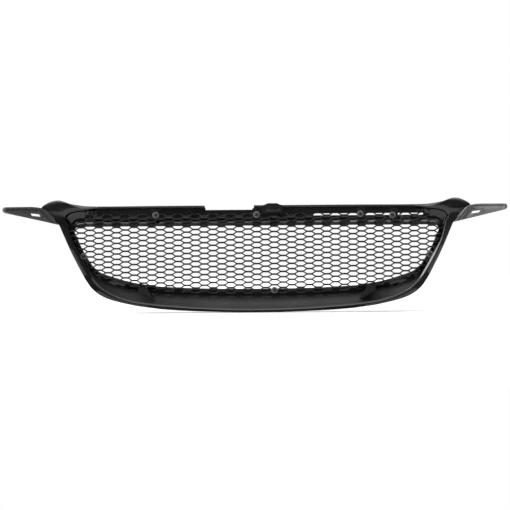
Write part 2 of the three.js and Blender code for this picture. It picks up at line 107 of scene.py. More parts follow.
# wall section of the surround, from the lip of the opening over the crown and the knee to the rim at the back
WALL = 3
SEAT_DEPTH = 17
LIP = {"run": 0.6, "depth": 8, "foot": 10}
SHOULDER = {"share": 0.45, "depth": 2}
CROWN = {"share": 0.45, "most": 11}  # its distance from the opening: a share of the width, up to the most
NOSE_SHARE = 0.45  # how far from the crown to the outer edge the nose is
NOSE_RISE = {"top": 2, "side": 3, "bottom": 9}
KNEE_DEPTH = {"top": 8, "side": 10, "bottom": 20}
KNEE = {"run": 2.5, "fall": 6}
FRONT_STEPS = 22
RIM_DEPTH = {"top": 22, "side": 30, "bottom": 34}
RIM_ROUND = 1.1
RIM_LEAN = 0.07  # how steeply the rim leans back towards its upper side
RIM_LEAN_LIMIT = 8  # how far below the recess that lean still grows
RIM_LAND = 0.5
RIM_BREAK = {"run": 0.1, "fall": 0.15}

# inside of the wall, from the rim down to the web and the seat of the mesh
CHAMFER = {"top": 0.3, "side": 3.2, "bottom": 2}
CHAMFER_FALL = 0.65  # depth for each millimetre of its width
UNDER_CHAMFER = {"share": 0.8, "fall": 0.3}
SLANT = {"top": 0.5, "side": 3.9, "bottom": 3.6}  # how far the foot of the wall stands in from the recess
BEND = {"across": 0.4, "down": 0.3}  # where the wall bends, as shares of the way to its foot
FILLET = {"size": 2.2, "in": 0.6, "up": 0.7}
WEB_LEAST = 3.5
SEAT_FILLET = 1.4
SEAT_BREAK = 0.4

# cuts through the top web
NOTCH = {"from": 4, "to": 88, "depth": 7.6, "slant": 3, "lean_in": 1, "lean_out": 0.5}
SLIT = {"from": -277, "to": -93, "low": 66.2, "high": 69.2, "through": 40}
TOOL_CLEARANCE = 5  # how far a cutting shape starts before the surround
TOOL_END_Y = 60

# mesh sheet
MESH_DEPTH = SEAT_DEPTH + 0.6
MESH_THICKNESS = 1.6
PITCH_X = 29.1
PITCH_Z = 8.85
BOND = 8
BOND_WIDTH = 2.8
STRAND_WIDTH = 2.1
STRAND_TWIST = 0.3
STRAND_ROUND = 0.28
MERGE_DISTANCE = 0.05
CUT_TOLERANCE = 0.001
ROW_Z = 44.3
OVERLAP = {"top": 20.5, "side": 7.2, "bottom": 8}

# fasteners: where each is, and their sizes
FASTENERS = {
    "top_1": (-228, 66), "top_2": (-174, 68.5), "top_3": (0, 68.5), "top_4": (169, 68.5),
    "side_left": (290, 1.5), "side_right": (-290, 1.5), "bottom": (-29, -57.3),
}
WASHER_DEPTH = MESH_DEPTH + MESH_THICKNESS + 0.35
WASHER_RADIUS = 5.4
WASHER_HOLE = 2.4
WASHER_THICKNESS = 1.2
WASHER_EDGE = 0.25
WASHER_SIDES = 40
HEAD_GAP = 0.1
HEAD_RADIUS = 3.5
HEAD_HEIGHT = 2.6
HEAD_SIDE = 1.1
HEAD_EDGE = {"run": 0.3, "rise": 0.4}
HEAD_FLAT = 0.3
HEAD_SIDES = 32
SOCKET_RADIUS = 2.1
SOCKET_DEPTH = 1.9
SOCKET_TAPER = 0.3
SOCKET_SIDES = 6
SHANK_RADIUS = 1.9
SCREW_LENGTH = 15
TIP = {"length": 2.5, "radius": 0.5}
HOLE_RADIUS = SHANK_RADIUS + 0.6
MESH_HOLE_RADIUS = SHANK_RADIUS + 0.4
HOLE_DEPTH = 2.5
HOLE_SIDES = 16
POCKET_RADIUS = 6
POCKET_REACH = 20
POCKET_SIDES = 32
BOSS_RADIUS = 4.4
BOSS_DEPTH = 1.5

# top rail and clip
RAIL = {"front": 11, "wall": 2, "top": 79.9, "low": 65.5, "half": 265, "lean": 1.1, "edge": 0.5}
RAIL_GAP = 0.35
RAIL_STEPS = 90
RAIL_TAB = {"half": 7, "low": 60.5, "cut": 2, "rise": 1.5, "front": 0.2, "rear": 0.01}
RAIL_HOLE = (5, 20)
RAIL_ROOM = {"below": 1, "above": 0.6, "end": 20}  # what the slit takes out of the rail
CLIP = {"x": -26.5, "plate": 34, "low": 71, "base": 27, "top": 16.5, "rise": 3, "sheet": 1.6, "hook": 9}
CLIP_CORNER = 1.5
CLIP_SOFT = 0.8
CLIP_SHOULDER = 0.4
CLIP_GAP = 0.6
CLIP_JOIN = 0.5  # how deep the parts of the clip run into each other
CLIP_ROUND = 0.35
CLIP_PAD = {"half": 7.5, "low": 6.7, "high": 0.3, "proud": 0.8}
CLIP_GROOVE = {"at": 11, "half": 0.5, "low": 75, "high": 90, "depth": 0.5}

# wings
WING_ROOT_X = 336
WING_TIP_X = 414.6
WING_ANGLE = math.radians(36)
FOOT_ANGLE = math.radians(10.5)
WING_GAP = 0.7
WING_SHEET = 3
WING_TOP_Z = 84.2
RIM_WIDTH = 2.6
RIM_PROUD = 3
RIM_SUNK = 0.5  # how deep the rim starts inside the sheet
RIDGE_PROUD = 2.2
RIDGE_SUNK = 0.4
GROOVE_DEPTH = 1.6
WING_CUT = 6  # how far a cutting shape reaches past the sheet
WING_ROUND = 0.5
SLOT = {"x": 364, "z": 70.6, "length": 20.5, "height": 3.9, "slant": 2.2, "fall": 0.9}

# the floor, a large disc just under the grille
FLOOR = {"radius": 2600, "gap": 0.3, "sides": 64}

# edges that turn by more than this, in degrees, are left sharp
SHARP_ANGLE = 35

# the colour sockets of a mix node
MIX_DARK, MIX_LIGHT, MIX_RESULT = 6, 7, 2


# ---- curves and outlines ------------------------------------------------------------------------------

def mix(a, b, share):
    """The value that lies a share of the way from a to b."""
    return a + (b - a) * share


def smooth(value, start, end):
    """Rises gently from 0 at the start to 1 at the end."""
    share = min(max((value - start) / (end - start), 0), 1)
    return share * share * (3 - 2 * share)


def sweep_at(x):
    """How far the surround has fallen back at a distance across the car."""
    fall = SWEEP * ((abs(x) / SWEEP_AT_X) ** SWEEP_POWER - (FLAT_TO_X / SWEEP_AT_X) ** SWEEP_POWER)
    return (fall + math.hypot(fall, SWEEP_BLEND)) / 2


def at(x, depth, z):
    """The point at a distance across the car, a depth behind the crown, and a height."""
    return Vector((x, FRONT_Y + sweep_at(x) + depth, z))


def curve_point(p0, p1, p2, p3, t):
    """A point between p1 and p2 of a centripetal Catmull-Rom curve."""
    d0, d1, d2 = (max((b - a).length, 1e-6) ** 0.5 for a, b in ((p0, p1), (p1, p2), (p2, p3)))
    leave = ((p1 - p0) / d0 - (p2 - p0) / (d0 + d1) + (p2 - p1) / d1) * d1
    arrive = ((p2 - p1) / d1 - (p3 - p1) / (d1 + d2) + (p3 - p2) / d2) * d1
    a = 2 * (p1 - p2) + leave + arrive
    b = 3 * (p2 - p1) - 2 * leave - arrive
    return ((a * t + b) * t + leave) * t + p1


def spline(points, steps):
    """steps + 1 evenly spaced points on a smooth curve through the given ones."""
    knots = [Vector(p) for p in points]
    knots = [2 * knots[0] - knots[1], *knots, 2 * knots[-1] - knots[-2]]
    fine = 24
    path = [
        curve_point(*knots[i:i + 4], k / fine)
        for i in range(len(knots) - 3) for k in range(fine)
    ]
    path.append(knots[-2])
    reach = [0.0]
    for a, b in zip(path, path[1:]):
        reach.append(reach[-1] + (b - a).length)
    spaced = []
    i = 0
    for step in range(steps + 1):
        wanted = reach[-1] * step / steps
        while i < len(path) - 2 and reach[i + 1] < wanted:
            i += 1
        share = (wanted - reach[i]) / max(reach[i + 1] - reach[i], 1e-9)
        spaced.append(path[i].lerp(path[i + 1], share))
    return spaced


def whole_outline(stretches):
    """The closed outline, from the middle of the top round the right half and back up the left."""
    half = []
    for steps, points in zip(STRETCH_STEPS, stretches):
        half += spline(points, steps)[:-1]
    half.append(Vector(stretches[-1][-1]))
    return half + [Vector((-p.x, p.y)) for p in reversed(half[1:-1])]


def blend_by_side(values, place):
    """Mixes the values given for the top, the sides and the bottom, at an (x, z) place."""
    low = smooth(-place.y, *BOTTOM_BLEND)
    high = smooth(place.y, *TOP_BLEND) * (1 - smooth(abs(place.x), *CORNER_BLEND))
    side = values["side"]
    return side + (values["bottom"] - side) * low + (values["top"] - side) * high


# ---- making pieces ------------------------------------------------------------------------------------

def prism(outline, low, high, place=at):
    """A closed solid: an outline of (x, z) points, carried from one depth to another."""
    count = len(outline)
    points = [place(x, depth, z) for depth in (low, high) for x, z in outline]
    sides = [(i, (i + 1) % count, (i + 1) % count + count, i + count) for i in range(count)]
    return points, [tuple(range(count)), tuple(range(count, 2 * count)), *sides]


def rectangle(left, low, right, high):
    return [(left, low), (right, low), (right, high), (left, high)]


def level(x, y, z):
    """The point itself, for solids that don't follow the sweep."""
    return Vector((x, y, z))


def loft(rings, ends=False):
    """A skin over rings of points. Without ends, the last ring joins the first."""
    size = len(rings[0])
    points = [p for ring in rings for p in ring]
    faces = []
    for i in range(len(rings) - ends):
        here, there = i * size, (i + 1) % len(rings) * size
        for k in range(size):
            after = (k + 1) % size
            faces.append((here + k, here + after, there + after, there + k))
    if ends:
        last = (len(rings) - 1) * size
        faces += [tuple(range(size)), tuple(range(last, last + size))]
    return points, faces


def turns(sides):
    """Evenly spaced angles round a circle."""
    return [2 * math.pi * k / sides for k in range(sides)]


def round_point(radius, depth, angle):
    return Vector((radius * math.cos(angle), depth, radius * math.sin(angle)))


def lathe(profile, sides, place):
    """A round solid from (radius, depth) points, closed flat at both ends."""
    rings = [[place @ round_point(*step, angle) for angle in turns(sides)] for step in profile]
    return loft(rings, ends=True)


def together(*solids):
    """Several solids as one."""
    points, faces = [], []
    for more_points, more_faces in solids:
        faces += [tuple(k + len(points) for k in face) for face in more_faces]
        points += more_points
    return points, faces


def new_object(name, solid):
    """A new object from points in millimetres and faces."""
    points, faces = solid
    mesh = bpy.data.meshes.new(name)
    mesh.from_pydata([p * MM for p in points], [], faces)
    shape = bmesh.new()
    shape.from_mesh(mesh)
    bmesh.ops.recalc_face_normals(shape, faces=shape.faces)
    shape.to_mesh(mesh)
    shape.free()
    made = bpy.data.objects.new(name, mesh)
    bpy.context.scene.collection.objects.link(made)
    return made


def apply_modifiers(piece):
    """Turns a piece's modifiers into plain geometry."""
    graph = bpy.context.evaluated_depsgraph_get()
    mesh = bpy.data.meshes.new_from_object(piece.evaluated_get(graph), depsgraph=graph)
    piece.modifiers.clear()
    piece.data = mesh


def combine(piece, solid, operation):
    """Adds a solid to a piece or cuts it away."""
    tool = new_object("tool", solid)
    modifier = piece.modifiers.new("combine", "BOOLEAN")
    modifier.object = tool
    modifier.operation = operation
    modifier.solver = "EXACT"
    modifier.use_self = True
    apply_modifiers(piece)
    bpy.data.objects.remove(tool)


def round_edges(piece, width, segments=2, angle=35):
    modifier = piece.modifiers.new("round", "BEVEL")
    modifier.width = width * MM
    modifier.segments = segments
    modifier.limit_method = "ANGLE"
    modifier.angle_limit = math.radians(angle)
    modifier.harden_normals = True
    apply_modifiers(piece)


def finish_piece(piece, material, slot, *nodes):
    """Gives a made object its material, smooth shading and its place in the frame."""
    piece.data.materials.clear()
    piece.data.materials.append(material)
    piece.data.shade_smooth()
    piece.data.set_sharp_from_angle(angle=math.radians(SHARP_ANGLE))
    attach(piece, "root")
    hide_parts(*nodes)


# ---- materials ----------------------------------------------------------------------------------------

class Shader:
    """A principled material whose colour, roughness and bump come from noise in object space."""

    def __init__(self, name, roughness, metallic=0.0, specular=0.5):
        self.material = bpy.data.materials.new(name)
        self.material.use_nodes = True
        self.nodes = self.material.node_tree.nodes
        self.links = self.material.node_tree.links
        self.body = self.nodes["Principled BSDF"]
        self.body.inputs["Roughness"].default_value = roughness
        self.body.inputs["Metallic"].default_value = metallic
        self.body.inputs["Specular IOR Level"].default_value = specular
        self.place = self.nodes.new("ShaderNodeTexCoord").outputs["Object"]

    def stretched(self, scale):
        """Object coordinates, drawn out along some of the axes."""
        mapping = self.nodes.new("ShaderNodeMapping")
        mapping.inputs["Scale"].default_value = scale
        self.links.new(self.place, mapping.inputs["Vector"])
        return mapping.outputs["Vector"]

    def noise(self, per_metre, detail=3.0, vector=None):
        texture = self.nodes.new("ShaderNodeTexNoise")
        texture.inputs["Scale"].default_value = per_metre
        texture.inputs["Detail"].default_value = detail
        self.links.new(vector or self.place, texture.inputs["Vector"])
        return texture.outputs["Fac"]

    def ramp(self, value, low, high, start=0.3, end=0.7):
        """Maps a value between start and end onto low to high."""
        step = self.nodes.new("ShaderNodeMapRange")
        step.inputs["From Min"].default_value = start
        step.inputs["From Max"].default_value = end
        step.inputs["To Min"].default_value = low
        step.inputs["To Max"].default_value = high
        self.links.new(value, step.inputs["Value"])
        return step.outputs["Result"]

    def math(self, operation, a, b):
        node = self.nodes.new("ShaderNodeMath")
        node.operation = operation
        for socket, value in zip(node.inputs, (a, b)):
            if isinstance(value, (int, float)):
                socket.default_value = value
            else:
                self.links.new(value, socket)
        return node.outputs[0]

    def blend(self, share, dark, light):
        node = self.nodes.new("ShaderNodeMix")
        node.data_type = "RGBA"
        self.links.new(share, node.inputs["Factor"])
        for socket, value in ((node.inputs[MIX_DARK], dark), (node.inputs[MIX_LIGHT], light)):
            if isinstance(value, tuple):
                socket.default_value = (*value, 1)
            else:
                self.links.new(value, socket)
        return node.outputs[MIX_RESULT]

    def upward(self, start=0.35, end=0.95):
        """How much the surface faces up, from 0 to 1."""
        split = self.nodes.new("ShaderNodeSeparateXYZ")
        self.links.new(self.nodes.new("ShaderNodeNewGeometry").outputs["Normal"], split.inputs[0])
        return self.ramp(split.outputs["Z"], 0.0, 1.0, start, end)

    def edges(self):
        """Where the surface turns outwards, from 0 to 1."""
        geometry = self.nodes.new("ShaderNodeNewGeometry")
        return self.ramp(geometry.outputs["Pointiness"], 0.0, 1.0, 0.52, 0.62)

    def colour(self, socket):
        self.links.new(socket, self.body.inputs["Base Color"])

    def roughness(self, socket):
        self.links.new(socket, self.body.inputs["Roughness"])

    def bump(self, *layers):
        """Each layer is (height, distance in millimetres)."""
        normal = None
        for height, distance in layers:
            node = self.nodes.new("ShaderNodeBump")
            node.inputs["Distance"].default_value = distance * MM
            self.links.new(height, node.inputs["Height"])
            if normal is not None:
                self.links.new(normal, node.inputs["Normal"])
            normal = node.outputs["Normal"]
        self.links.new(normal, self.body.inputs["Normal"])


def gloss_black():
    """Moulded black plastic: flow pattern, orange peel, rubbing marks, dust on its upper sides, and painted
    light that makes every upward-facing side a lighter grey.
    """
    look = Shader("gloss_black_abs", 0.16, specular=0.38)
    flow = look.noise(9, 4, look.stretched((1, 2.5, 2.5)))
    scuffs = look.noise(260, 6, look.stretched((0.12, 1, 1)))
    base = look.blend(look.ramp(flow, 0, 1), (0.004, 0.004, 0.0044), (0.008, 0.008, 0.0084))
    # painted light: sides that face up are made a lighter grey, standing in for the light they catch, and a
    # little rougher
    upward_painted_light = look.math("MULTIPLY", look.upward(0.3, 0.62), look.ramp(look.noise(16, 5), 0.7, 1))
    base_with_painted_light = look.blend(upward_painted_light, base, (0.038, 0.038, 0.04))
    dust = look.math("MULTIPLY", look.ramp(look.noise(420, 8), 0, 1, 0.5, 0.75), look.upward())
    look.colour(look.blend(look.math("MULTIPLY", dust, 0.3), base_with_painted_light, (0.11, 0.108, 0.102)))
    worn = look.math("ADD", look.ramp(flow, 0.11, 0.2), look.ramp(scuffs, 0, 0.1, 0.5, 0.8))
    look.roughness(look.math("ADD", worn, look.math("MULTIPLY", look.math("ADD", dust, upward_painted_light), 0.2)))
    look.bump((look.noise(520, 2), 0.022), (flow, 0.35))
    return look.material


def satin_black():
    """Plain black plastic that was left as it came from a grained mould."""
    look = Shader("satin_black_plastic", 0.3, specular=0.12)
    patches = look.noise(30, 5)
    look.colour(look.blend(look.ramp(patches, 0, 1), (0.004, 0.004, 0.0044), (0.009, 0.009, 0.0095)))
    look.roughness(look.ramp(look.noise(700, 3), 0.24, 0.36))
    look.bump((look.noise(1500, 3), 0.04))
    return look.material


def grey_plastic():
    """Dark grey plastic with a fine grain, rubbed lighter along its edges."""
    look = Shader("grey_grained_plastic", 0.5, specular=0.42)
    grain = look.noise(1900, 4)
    streaks = look.noise(60, 5, look.stretched((0.25, 1, 1.5)))
    base = look.blend(look.ramp(streaks, 0, 1), (0.022, 0.022, 0.023), (0.033, 0.033, 0.035))
    rubbed = look.math("MULTIPLY", look.edges(), look.ramp(look.noise(150, 4), 0.2, 0.8))
    look.colour(look.blend(rubbed, base, (0.09, 0.09, 0.09)))
    look.roughness(look.math("ADD", look.ramp(grain, 0.4, 0.56), look.math("MULTIPLY", rubbed, -0.1)))
    look.bump((grain, 0.06), (look.noise(90, 2), 0.05))
    return look.material


def mesh_black():
    """Powder coat on flattened expanded metal: pebbled, thin on the sheared edges."""
    look = Shader("black_powder_coat", 0.38, specular=0.17)
    pebbles = look.noise(1300, 3)
    thin = look.math("MULTIPLY", look.edges(), look.ramp(look.noise(240, 5), 0, 1, 0.4, 0.7))
    base = look.blend(look.ramp(look.noise(35, 4), 0, 1), (0.004, 0.004, 0.0044), (0.01, 0.01, 0.0105))
    look.colour(look.blend(thin, base, (0.025, 0.025, 0.026)))
    look.roughness(look.ramp(pebbles, 0.28, 0.46))
    look.bump((pebbles, 0.07))
    return look.material


def plated_metal(name, dark, light):
    """Plated steel with turning marks and dull patches."""
    look = Shader(name, 0.45, metallic=0.4, specular=0.35)
    dull = look.noise(320, 5)
    look.colour(look.blend(look.ramp(dull, 0, 1), (dark, dark, dark), (light, light, light * 1.03)))
    look.roughness(look.ramp(dull, 0.58, 0.4))
    look.bump((look.noise(3000, 3, look.stretched((1, 0.1, 1))), 0.03))
    return look.material


# ---- the surround -------------------------------------------------------------------------------------

def front_profile(width, rise, knee):
    """The outside of a wall section, as (distance from the opening, depth)."""
    crown = min(CROWN["share"] * width, CROWN["most"])
    nose = crown + NOSE_SHARE * (width - crown)
    return [
        (0, SEAT_DEPTH), (LIP["run"], LIP["depth"]), (SHOULDER["share"] * crown, SHOULDER["depth"]),
        (crown, 0), (nose, rise), (width - KNEE["run"], knee), (width, knee + KNEE["fall"]),
    ]


def depth_on(profile, distance):
    """How deep the outside of a wall section is at a distance from the opening."""
    for (a, depth_a), (b, depth_b) in zip(profile, profile[1:]):
        if distance <= b:
            return mix(depth_a, depth_b, (distance - a) / (b - a))
    return profile[-1][1]


def bezel_ring(opening, recess, outer):
    """The closed section of the surround at one station of its outlines."""
    width = (outer - opening).length
    outward = (outer - opening) / width
    rim, chamfer, slant = (blend_by_side(values, outer) for values in (RIM_DEPTH, CHAMFER, SLANT))
    edge = rim - RIM_LEAN * max(outer.y - recess.y, -RIM_LEAN_LIMIT)
    profile = front_profile(width, blend_by_side(NOSE_RISE, outer), blend_by_side(KNEE_DEPTH, outer))
    ring = [(opening + outward * p.x, p.y) for p in spline(profile, FRONT_STEPS)]
    for turn in (15, 45, 75):
        angle = math.radians(turn)
        inward = RIM_ROUND * (1 - math.cos(angle))
        ring.append((outer - outward * inward, edge - RIM_ROUND * (1 - math.sin(angle))))
    foot = recess - outward * slant
    foot_distance = max((foot - opening).dot(outward), WALL + WEB_LEAST)
    floor = depth_on(profile, foot_distance) + WALL
    under_chamfer = rim - UNDER_CHAMFER["share"] * chamfer - UNDER_CHAMFER["fall"]
    ring += [
        (recess + outward * RIM_LAND, rim),
        (recess - outward * RIM_BREAK["run"], rim - RIM_BREAK["fall"]),
        (recess - outward * chamfer, rim - CHAMFER_FALL * chamfer - RIM_BREAK["fall"]),
        (recess - outward * mix(chamfer, slant, BEND["across"]), mix(under_chamfer, floor, BEND["down"])),
        (foot, floor + FILLET["size"]),
        (foot - outward * FILLET["in"], floor + FILLET["up"]),
    ]
    side_shift = (foot - opening) - outward * (foot - opening).dot(outward)
    for share in (0, 0.2, 0.4, 0.6, 0.8, 1):
        distance = mix(foot_distance - FILLET["size"], WALL + SEAT_FILLET, share)
        back = depth_on(profile, distance) + WALL
        ring.append((opening + outward * distance + side_shift * (1 - share), back))
    ring += [
        (opening + outward * WALL, LIP["foot"]),
        (opening + outward * WALL, SEAT_DEPTH - SEAT_BREAK),
        (opening + outward * (WALL - SEAT_BREAK), SEAT_DEPTH),
        (opening + outward * SEAT_BREAK, SEAT_DEPTH),
    ]
    return [at(place.x, depth, place.y) for place, depth in ring]


def notch_tool():
    """What is cut out of the top edge, beside the clip."""
    floor = TOP_Z - NOTCH["depth"]
    above = TOP_Z + TOOL_CLEARANCE
    left, right = NOTCH["from"], NOTCH["to"]
    outline = [
        (left + NOTCH["lean_in"], floor), (right - NOTCH["slant"], floor),
        (right, above), (left - NOTCH["lean_out"], above),
    ]
    return prism(outline, FRONT_Y - TOOL_CLEARANCE, TOOL_END_Y, level)


def slit_tool():
    """The ventilation slit in the top web, with pointed ends."""
    middle = (SLIT["low"] + SLIT["high"]) / 2
    bevel = (SLIT["high"] - SLIT["low"]) / 2
    start, end = SLIT["from"], SLIT["to"]
    outline = [
        (start, middle), (start + bevel, SLIT["low"]), (end - bevel, SLIT["low"]),
        (end, middle), (end - bevel, SLIT["high"]), (start + bevel, SLIT["high"]),
    ]
    return prism(outline, FRONT_Y - TOOL_CLEARANCE, FRONT_Y + SLIT["through"], level)


def facing(x, depth, z):
    """Turns a piece made along Y square to the surround at a place, and moves it there."""
    slope = (sweep_at(x + 1) - sweep_at(x - 1)) / 2
    return Matrix.Translation(at(x, depth, z)) @ Matrix.Rotation(math.atan(slope), 4, "Z")


def rod(x, z, radius, low, high, sides=24):
    """A rod square to the surround, from one depth to another."""
    return lathe([(radius, low), (radius, high)], sides, facing(x, 0, z))


def bezel(material):
    outlines = [whole_outline(stretches) for stretches in (OPENING, RECESS, OUTER)]
    piece = new_object("grille_surround", loft([bezel_ring(*places) for places in zip(*outlines)]))
    bosses, pockets = [], []
    for x, z in FASTENERS.values():
        above = z > OPENING_TOP
        bosses.append(rod(x, z, BOSS_RADIUS, BOSS_DEPTH, RAIL["front"] - RAIL_GAP if above else SEAT_DEPTH))
        pockets.append(rod(x, z, HOLE_RADIUS, HOLE_DEPTH, SEAT_DEPTH + 1, HOLE_SIDES))
        if not above:
            pocket_end = SEAT_DEPTH + POCKET_REACH
            pockets.append(rod(x, z, POCKET_RADIUS, SEAT_DEPTH, pocket_end, POCKET_SIDES))
    combine(piece, together(*bosses), "UNION")
    combine(piece, together(notch_tool(), slit_tool()), "DIFFERENCE")
    combine(piece, together(*pockets), "DIFFERENCE")
    finish_piece(piece, material, "gloss_black", "bezel")


# ---- the mesh sheet -----------------------------------------------------------------------------------

def sheet_edge():
    """Outline of the sheet: the opening, pushed outwards, as the half-planes that bound it."""
    opening = whole_outline(OPENING)
    beside = {**OVERLAP, "top": OVERLAP["side"]}
    planes = []
    for a, b in zip(opening, opening[1:] + opening[:1]):
        along = (b - a).normalized()
        outward = Vector((-along.y, along.x))
        faces_up = outward.y > 0.9
        reach = OVERLAP["top"] if faces_up else blend_by_side(beside, (a + b) / 2)
        planes.append((a + outward * reach, outward))
    return planes


def cell_faces(cx, cz, points, faces):
    """The strands round one cell: six strips between the cell's own edge and the lattice lines."""
    rise = PITCH_Z / 2
    run = PITCH_X / 2 - BOND
    slope = math.atan2(rise, run)
    lattice = [(BOND / 2 + run, 0), (BOND / 2, rise), (-BOND / 2, rise),
               (-BOND / 2 - run, 0), (-BOND / 2, -rise), (BOND / 2, -rise)]
    tall = (PITCH_Z - BOND_WIDTH) / 2
    reach = BOND / 2 + run - STRAND_WIDTH / 2 / math.sin(slope)
    flat = reach - tall / math.tan(slope)
    cell = [(reach, 0), (flat, tall), (-flat, tall), (-reach, 0), (-flat, -tall), (flat, -tall)]
    start = len(points)
    for x, z in lattice:
        points.append(Vector((cx + x, 0, cz + z)))
    for x, z in cell:
        points.append(Vector((cx + x, STRAND_TWIST * z / tall, cz + z)))
    for k in range(6):
        after = (k + 1) % 6
        faces.append((start + k, start + after, start + 6 + after, start + 6 + k))


def mesh_insert(material):
    points, faces = [], []
    columns = math.ceil((OPENING_HALF + OVERLAP["side"]) / (PITCH_X / 2)) + 1
    highest = math.ceil((OPENING_TOP + OVERLAP["top"] + PITCH_Z - ROW_Z) / PITCH_Z)
    lowest = math.floor((OPENING_BOTTOM - OVERLAP["bottom"] - ROW_Z) / PITCH_Z)
    for column in range(-columns, columns + 1):
        shift = 0 if column % 2 == 0 else PITCH_Z / 2
        for row in range(highest, lowest - 1, -1):
            cell_faces(column * PITCH_X / 2, ROW_Z + row * PITCH_Z - shift, points, faces)
    piece = new_object("expanded_mesh", (points, faces))
    shape = bmesh.new()
    shape.from_mesh(piece.data)
    bmesh.ops.remove_doubles(shape, verts=shape.verts, dist=MERGE_DISTANCE * MM)
    for place, outward in sheet_edge():
        bmesh.ops.bisect_plane(
            shape, geom=[*shape.verts, *shape.edges, *shape.faces], dist=CUT_TOLERANCE * MM, clear_outer=True,
            plane_co=Vector((place.x, 0, place.y)) * MM, plane_no=Vector((outward.x, 0, outward.y)),
        )
    for x, z in FASTENERS.values():
        hole = [v for v in shape.verts if math.hypot(v.co.x / MM - x, v.co.z / MM - z) < MESH_HOLE_RADIUS]
        bmesh.ops.delete(shape, geom=hole, context="VERTS")
    for vertex in shape.verts:
        vertex.co.y += (FRONT_Y + MESH_DEPTH + MESH_THICKNESS / 2 + sweep_at(vertex.co.x / MM)) * MM
    bmesh.ops.recalc_face_normals(shape, faces=shape.faces)
    shape.to_mesh(piece.data)
    shape.free()
    thicken = piece.modifiers.new("thicken", "SOLIDIFY")
    thicken.thickness = (MESH_THICKNESS - STRAND_TWIST) * MM
    thicken.offset = 0
    apply_modifiers(piece)
    round_edges(piece, STRAND_ROUND, segments=1, angle=50)
    finish_piece(piece, material, "mesh_black", "mesh_insert")


# ---- fasteners ----------------------------------------------------------------------------------------

def washer(name, x, z, material):
    low, high, edge = WASHER_DEPTH, WASHER_DEPTH + WASHER_THICKNESS, WASHER_EDGE
    profile = [
        (WASHER_HOLE, low), (WASHER_RADIUS - edge, low), (WASHER_RADIUS, low + edge),
        (WASHER_RADIUS, high - edge), (WASHER_RADIUS - edge, high), (WASHER_HOLE + edge, high),
        (WASHER_HOLE, high - edge),
    ]
    place = facing(x, 0, z)
    rings = [[place @ round_point(*step, angle) for step in profile] for angle in turns(WASHER_SIDES)]
    piece = new_object(name, loft(rings))
    finish_piece(piece, material, "dark_zinc", "mesh_" + name)


def screw(name, x, z, material):
    under = WASHER_DEPTH + WASHER_THICKNESS + HEAD_GAP
    crown = under + HEAD_HEIGHT
    tip = under - SCREW_LENGTH
    dome = [
        (HEAD_RADIUS * math.cos(math.radians(a)), mix(under + HEAD_SIDE, crown, math.sin(math.radians(a))))
        for a in (0, 18, 36, 54, 72)
    ]
    profile = [
        (TIP["radius"], tip), (SHANK_RADIUS, tip + TIP["length"]), (SHANK_RADIUS, under),
        (HEAD_RADIUS - HEAD_EDGE["run"], under), (HEAD_RADIUS, under + HEAD_EDGE["rise"]), *dome,
        (HEAD_FLAT, crown),
    ]
    place = facing(x, 0, z)
    piece = new_object(name, lathe(profile, HEAD_SIDES, place))
    socket = [(SOCKET_RADIUS - SOCKET_TAPER, crown - SOCKET_DEPTH), (SOCKET_RADIUS, crown + 1)]
    combine(piece, lathe(socket, SOCKET_SIDES, place), "DIFFERENCE")
    finish_piece(piece, material, "dark_zinc", "mesh_" + name)


# ---- top rail and clip --------------------------------------------------------------------------------

def top_rail(material):
    front, rear, wall = RAIL["front"], SEAT_DEPTH, RAIL["wall"]
    top, low, half, lean, edge = RAIL["top"], RAIL["low"], RAIL["half"], RAIL["lean"], RAIL["edge"]
    section = [
        (front, top), (rear - lean - edge, top), (rear - lean, top - edge), (rear, low + edge),
        (rear - edge, low), (rear - wall, low), (rear - wall - lean, top - wall), (front, top - wall),
    ]
    across = [mix(-half, half, k / RAIL_STEPS) for k in range(RAIL_STEPS + 1)]
    rings = [[at(x, depth, z) for depth, z in section] for x in across]
    piece = new_object("top_rail_bar", loft(rings, ends=True))
    room_low, room_high = low - RAIL_ROOM["below"], SLIT["high"] + RAIL_ROOM["above"]
    room = rectangle(SLIT["from"], room_low, SLIT["to"], room_high)
    tabs, holes = [], []
    for x, z in FASTENERS.values():
        if z > OPENING_TOP:
            wide, narrow = RAIL_TAB["half"], RAIL_TAB["half"] - RAIL_TAB["cut"]
            foot, corner = RAIL_TAB["low"], RAIL_TAB["low"] + RAIL_TAB["rise"]
            tab = [
                (x - wide, top - 1), (x - wide, corner), (x - narrow, foot),
                (x + narrow, foot), (x + wide, corner), (x + wide, top - 1),
            ]
            tabs.append(prism(tab, front + RAIL_TAB["front"], rear - RAIL_TAB["rear"]))
            holes.append(rod(x, z, HOLE_RADIUS, *RAIL_HOLE, HOLE_SIDES))
    combine(piece, together(notch_tool(), prism(room, FRONT_Y, RAIL_ROOM["end"], level)), "DIFFERENCE")
    combine(piece, together(*tabs), "UNION")
    combine(piece, together(*holes), "DIFFERENCE")
    finish_piece(piece, material, "gloss_black", "top_rail")


